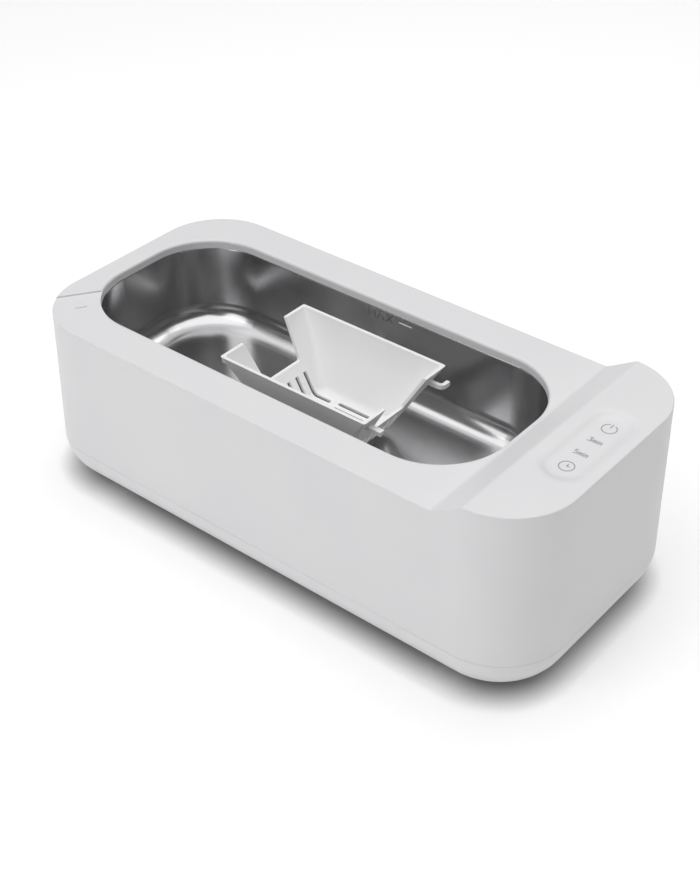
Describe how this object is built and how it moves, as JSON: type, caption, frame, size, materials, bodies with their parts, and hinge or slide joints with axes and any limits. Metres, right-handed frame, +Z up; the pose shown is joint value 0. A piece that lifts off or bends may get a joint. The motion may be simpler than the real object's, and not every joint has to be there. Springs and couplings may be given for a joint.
{
  "type": "ultrasonic cleaner",
  "caption": "Small bench ultrasonic cleaner: rounded white case, long stainless tank, raised touch panel at one end, lift-out slotted basket.",
  "frame": {"origin": "on the standing surface under the middle of the body", "axes": "+X towards the raised control end, +Z up, -Y the front long side"},
  "size_m": [0.21, 0.098, 0.0727],
  "materials": {
    "white_abs": "fine satin mould texture",
    "basket_pp": "smooth satin moulding",
    "tank_steel": "deep-drawn, polished",
    "rubber_grey": "matte",
    "silicone": "matte silicone",
    "zinc_steel": "zinc plated",
    "solder": "tinned",
    "wire_red": "insulated wire",
    "wire_white": "insulated wire",
    "wire_blue": "insulated wire",
    "black_plastic": "moulded",
    "board_green": "solder mask",
    "capacitor_sleeve": "shrink sleeve",
    "capacitor_yellow": "moulded box",
    "heatsink_aluminium": "extruded",
    "varistor_blue": "dipped coating",
    "chip_ceramic": "matte",
    "connector_nylon": "moulded nylon",
    "ribbon_grey": "flat cable",
    "foam_black": "conductive foam",
    "led_lens": "clear epoxy",
    "icon_ink": "pad print",
    "inlet_black": "moulded",
    "pin_brass": "nickel plated brass",
    "epoxy": "cured adhesive",
    "piezo_ceramic": "fired",
    "silver_paint": "fired silver",
    "ferrite": "sintered",
    "winding_tape": "polyester tape",
    "enamelled_copper": "enamelled copper",
    "fuse_glass": "clear"
  },
  "bodies": {
    "case": {"base_tray": "white_abs", "board_screws": "zinc_steel", "bridge_rectifier": "black_plastic", "case_screws": "zinc_steel", "choke_core": "ferrite", "choke_winding": "enamelled_copper", "clamp_screws": "zinc_steel", "control_chips": "black_plastic", "cutout_leads": "wire_white", "electrolytic_capacitors": "capacitor_sleeve", "film_capacitors": "capacitor_yellow", "fuse_caps": "zinc_steel", "fuse_clips": "zinc_steel", "fuse_tube": "fuse_glass", "heatsink": "heatsink_aluminium", "indicator_leds": "led_lens", "inlet_pins": "pin_brass", "inlet_socket": "inlet_black", "inlet_terminals": "solder", "inlet_wires": "wire_blue", "main_board": "board_green", "panel_icons": "icon_ink", "piezo_disc": "piezo_ceramic", "piezo_electrodes": "silver_paint", "power_transistors": "black_plastic", "ribbon_cable": "ribbon_grey", "ribbon_headers": "connector_nylon", "rubber_feet": "rubber_grey", "small_components": "chip_ceramic", "solder_joints": "solder", "tank": "tank_steel", "tank_clamps": "zinc_steel", "tank_gasket": "silicone", "thermal_cutout": "black_plastic", "touch_board": "board_green", "touch_pads": "foam_black", "touch_screws": "zinc_steel", "transducer_bond": "epoxy", "transducer_connector": "connector_nylon", "transducer_leads": "wire_red", "transformer_core": "ferrite", "transformer_feet": "black_plastic", "transformer_winding": "winding_tape", "upper_housing": "white_abs", "varistor": "varistor_blue"},
    "basket": {"basket": "basket_pp"}
  },
  "joints": [
    {"name": "basket_lift", "type": "slide", "parent": "case", "child": "basket", "axis": [0, 0, 1], "range_m": [0, 0.08]}
  ]
}
